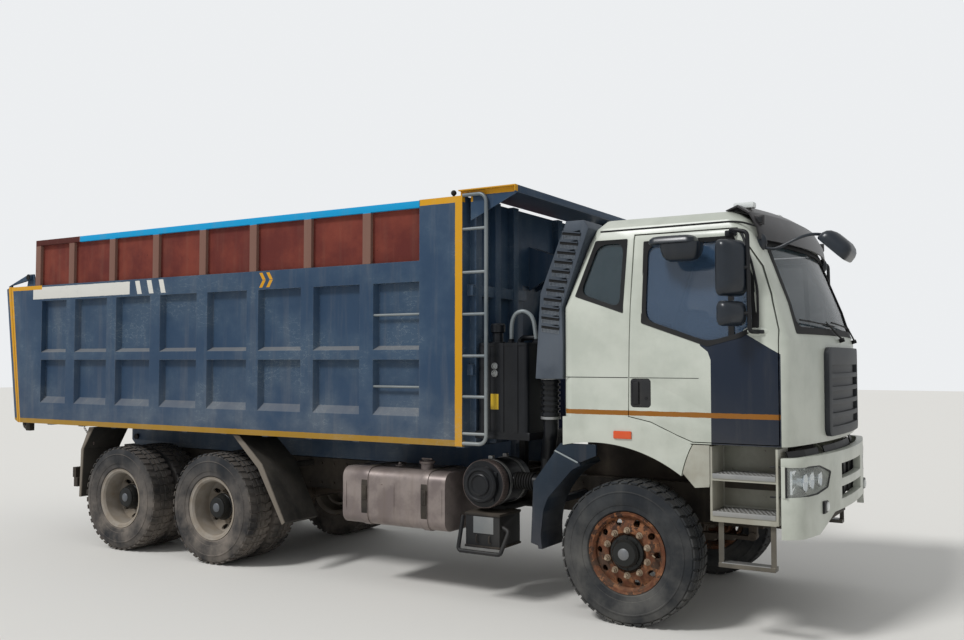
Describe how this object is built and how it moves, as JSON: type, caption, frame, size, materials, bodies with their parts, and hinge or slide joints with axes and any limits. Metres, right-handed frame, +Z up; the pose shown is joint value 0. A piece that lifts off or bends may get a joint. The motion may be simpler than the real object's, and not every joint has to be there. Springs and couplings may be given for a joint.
{
  "type": "dump truck",
  "caption": "Dump truck with a tilting cab, steered front axle, twin rear wheels and a ribbed tipping bed raised by a front telescopic hoist.",
  "frame": {"origin": "on the ground under the middle of the truck's overall length and width", "axes": "+X forward, +Y to the truck's left, +Z up"},
  "size_m": [9.205, 2.97, 3.387],
  "materials": {
    "cab_paint": "dusty cream paint, semi-gloss",
    "bed_paint": "slate paint, worn and dusty",
    "board_paint": "rust-brown paint, corroded",
    "chassis_paint": "dusty black paint",
    "tank_paint": "black paint, satin",
    "fuel_tank_metal": "dusty grey-pink paint",
    "cast_metal": "raw, oily and dusty",
    "front_rim_paint": "rusty orange-brown paint",
    "rear_rim_paint": "dusty beige paint",
    "tyre": "dusty black rubber",
    "glass": "clear safety glass",
    "lamp_lens": "clear lamp lens",
    "black_plastic": "moulded black plastic",
    "snorkel_plastic": "moulded dark grey plastic",
    "interior": "grey trim and seats",
    "chrome_rod": "polished rod"
  },
  "bodies": {
    "chassis": {"frame_rails": "chassis_paint", "cross_members": "chassis_paint", "front_axle": "cast_metal", "rear_axles": "cast_metal", "leaf_springs": "cast_metal", "engine_block": "cast_metal", "radiator": "tank_paint", "drive_shafts": "cast_metal", "front_bumper": "cab_paint", "headlamps": "lamp_lens", "entry_steps": "black_plastic", "front_mudguards": "black_plastic", "rear_mudguards": "black_plastic", "fuel_tank": "fuel_tank_metal", "oil_tank": "tank_paint", "air_cleaner": "tank_paint", "battery_box": "black_plastic", "air_tanks": "tank_paint", "muffler": "cast_metal", "rear_lamps": "chassis_paint"},
    "knuckle_left": {"knuckle_left": "cast_metal"},
    "knuckle_right": {"knuckle_right": "cast_metal"},
    "tie_rod": {"tie_rod": "cast_metal"},
    "cab": {"cab_shell": "cab_paint", "cab_glass": "glass", "cab_interior": "interior", "front_grille": "snorkel_plastic", "sun_visor": "snorkel_plastic", "snorkel": "snorkel_plastic", "cab_mirrors": "black_plastic"},
    "door_left": {"door_left": "cab_paint", "door_glass_left": "glass", "mirrors_left": "black_plastic"},
    "door_right": {"door_right": "cab_paint", "door_glass_right": "glass", "mirrors_right": "black_plastic"},
    "bed": {"bed_tub": "bed_paint", "side_boards": "board_paint", "canopy": "bed_paint", "ladder": "bed_paint"},
    "tailgate": {"tailgate": "bed_paint"},
    "hoist_tube": {"hoist_tube": "tank_paint"},
    "hoist_stage_1": {"hoist_stage_1": "chrome_rod"},
    "hoist_stage_2": {"hoist_stage_2": "chrome_rod"},
    "hoist_stage_3": {"hoist_stage_3": "chrome_rod"},
    "wheel_front_left": {"rim_front_left": "front_rim_paint", "tyre_front_left": "tyre"},
    "wheel_front_right": {"rim_front_right": "front_rim_paint", "tyre_front_right": "tyre"},
    "wheel_mid_left": {"rim_mid_left": "rear_rim_paint", "tyre_mid_left": "tyre"},
    "wheel_mid_right": {"rim_mid_right": "rear_rim_paint", "tyre_mid_right": "tyre"},
    "wheel_last_left": {"rim_last_left": "rear_rim_paint", "tyre_last_left": "tyre"},
    "wheel_last_right": {"rim_last_right": "rear_rim_paint", "tyre_last_right": "tyre"}
  },
  "joints": [
    {"name": "steer_left", "type": "hinge", "parent": "chassis", "child": "knuckle_left", "pos_m": [3.0425, 0.84, 0.538], "axis": [0, 0, 1], "range_deg": [-35, 35]},
    {"name": "steer_right", "type": "hinge", "parent": "chassis", "child": "knuckle_right", "pos_m": [3.0425, -0.84, 0.538], "axis": [0, 0, 1], "range_deg": [-35, 35]},
    {"name": "tie_rod_pivot", "type": "hinge", "parent": "knuckle_left", "child": "tie_rod", "pos_m": [2.8525, 0.84, 0.45], "axis": [0, 0, 1], "range_deg": [-35, 35]},
    {"name": "spin_front_left", "type": "hinge", "parent": "knuckle_left", "child": "wheel_front_left", "pos_m": [3.0425, 1.01, 0.538], "axis": [0, 1, 0], "continuous": true},
    {"name": "spin_front_right", "type": "hinge", "parent": "knuckle_right", "child": "wheel_front_right", "pos_m": [3.0425, -1.01, 0.538], "axis": [0, 1, 0], "continuous": true},
    {"name": "spin_mid_left", "type": "hinge", "parent": "chassis", "child": "wheel_mid_left", "pos_m": [-1.2475, 0.915, 0.538], "axis": [0, 1, 0], "continuous": true},
    {"name": "spin_mid_right", "type": "hinge", "parent": "chassis", "child": "wheel_mid_right", "pos_m": [-1.2475, -0.915, 0.538], "axis": [0, 1, 0], "continuous": true},
    {"name": "spin_last_left", "type": "hinge", "parent": "chassis", "child": "wheel_last_left", "pos_m": [-2.5975, 0.915, 0.538], "axis": [0, 1, 0], "continuous": true},
    {"name": "spin_last_right", "type": "hinge", "parent": "chassis", "child": "wheel_last_right", "pos_m": [-2.5975, -0.915, 0.538], "axis": [0, 1, 0], "continuous": true},
    {"name": "cab_tilt", "type": "hinge", "parent": "chassis", "child": "cab", "pos_m": [4.2925, 0, 1], "axis": [0, 1, 0], "range_deg": [0, 50]},
    {"name": "door_left_swing", "type": "hinge", "parent": "cab", "child": "door_left", "pos_m": [4.2075, 1.243, 2.15], "axis": [0, 0, -1], "range_deg": [0, 70]},
    {"name": "door_right_swing", "type": "hinge", "parent": "cab", "child": "door_right", "pos_m": [4.2075, -1.243, 2.15], "axis": [0, 0, 1], "range_deg": [0, 70]},
    {"name": "bed_tilt", "type": "hinge", "parent": "chassis", "child": "bed", "pos_m": [-3.3075, 0, 1.1], "axis": [0, -1, 0], "range_deg": [0, 45]},
    {"name": "tailgate_swing", "type": "hinge", "parent": "bed", "child": "tailgate", "pos_m": [-4.2075, 0, 2.925], "axis": [0, 1, 0], "range_deg": [0, 60]},
    {"name": "hoist_trunnion", "type": "hinge", "parent": "chassis", "child": "hoist_tube", "pos_m": [1.9525, 0, 1.09], "axis": [0, -1, 0], "range_deg": [0, 29.3]},
    {"name": "hoist_slide_1", "type": "slide", "parent": "hoist_tube", "child": "hoist_stage_1", "axis": [0, 0, 1], "range_m": [0, 1.311]},
    {"name": "hoist_slide_2", "type": "slide", "parent": "hoist_stage_1", "child": "hoist_stage_2", "axis": [0, 0, 1], "range_m": [0, 1.311]},
    {"name": "hoist_slide_3", "type": "slide", "parent": "hoist_stage_2", "child": "hoist_stage_3", "axis": [0, 0, 1], "range_m": [0, 1.311]}
  ],
  "couplings": [
    {"joint": "steer_right", "follows": "steer_left", "ratio": 1},
    {"joint": "tie_rod_pivot", "follows": "steer_left", "ratio": -1},
    {"joint": "hoist_trunnion", "follows": "bed_tilt", "ratio": 0.6493},
    {"joint": "hoist_slide_1", "follows": "bed_tilt", "m_per_rad": 1.6683},
    {"joint": "hoist_slide_2", "follows": "bed_tilt", "m_per_rad": 1.6683},
    {"joint": "hoist_slide_3", "follows": "bed_tilt", "m_per_rad": 1.6683}
  ]
}
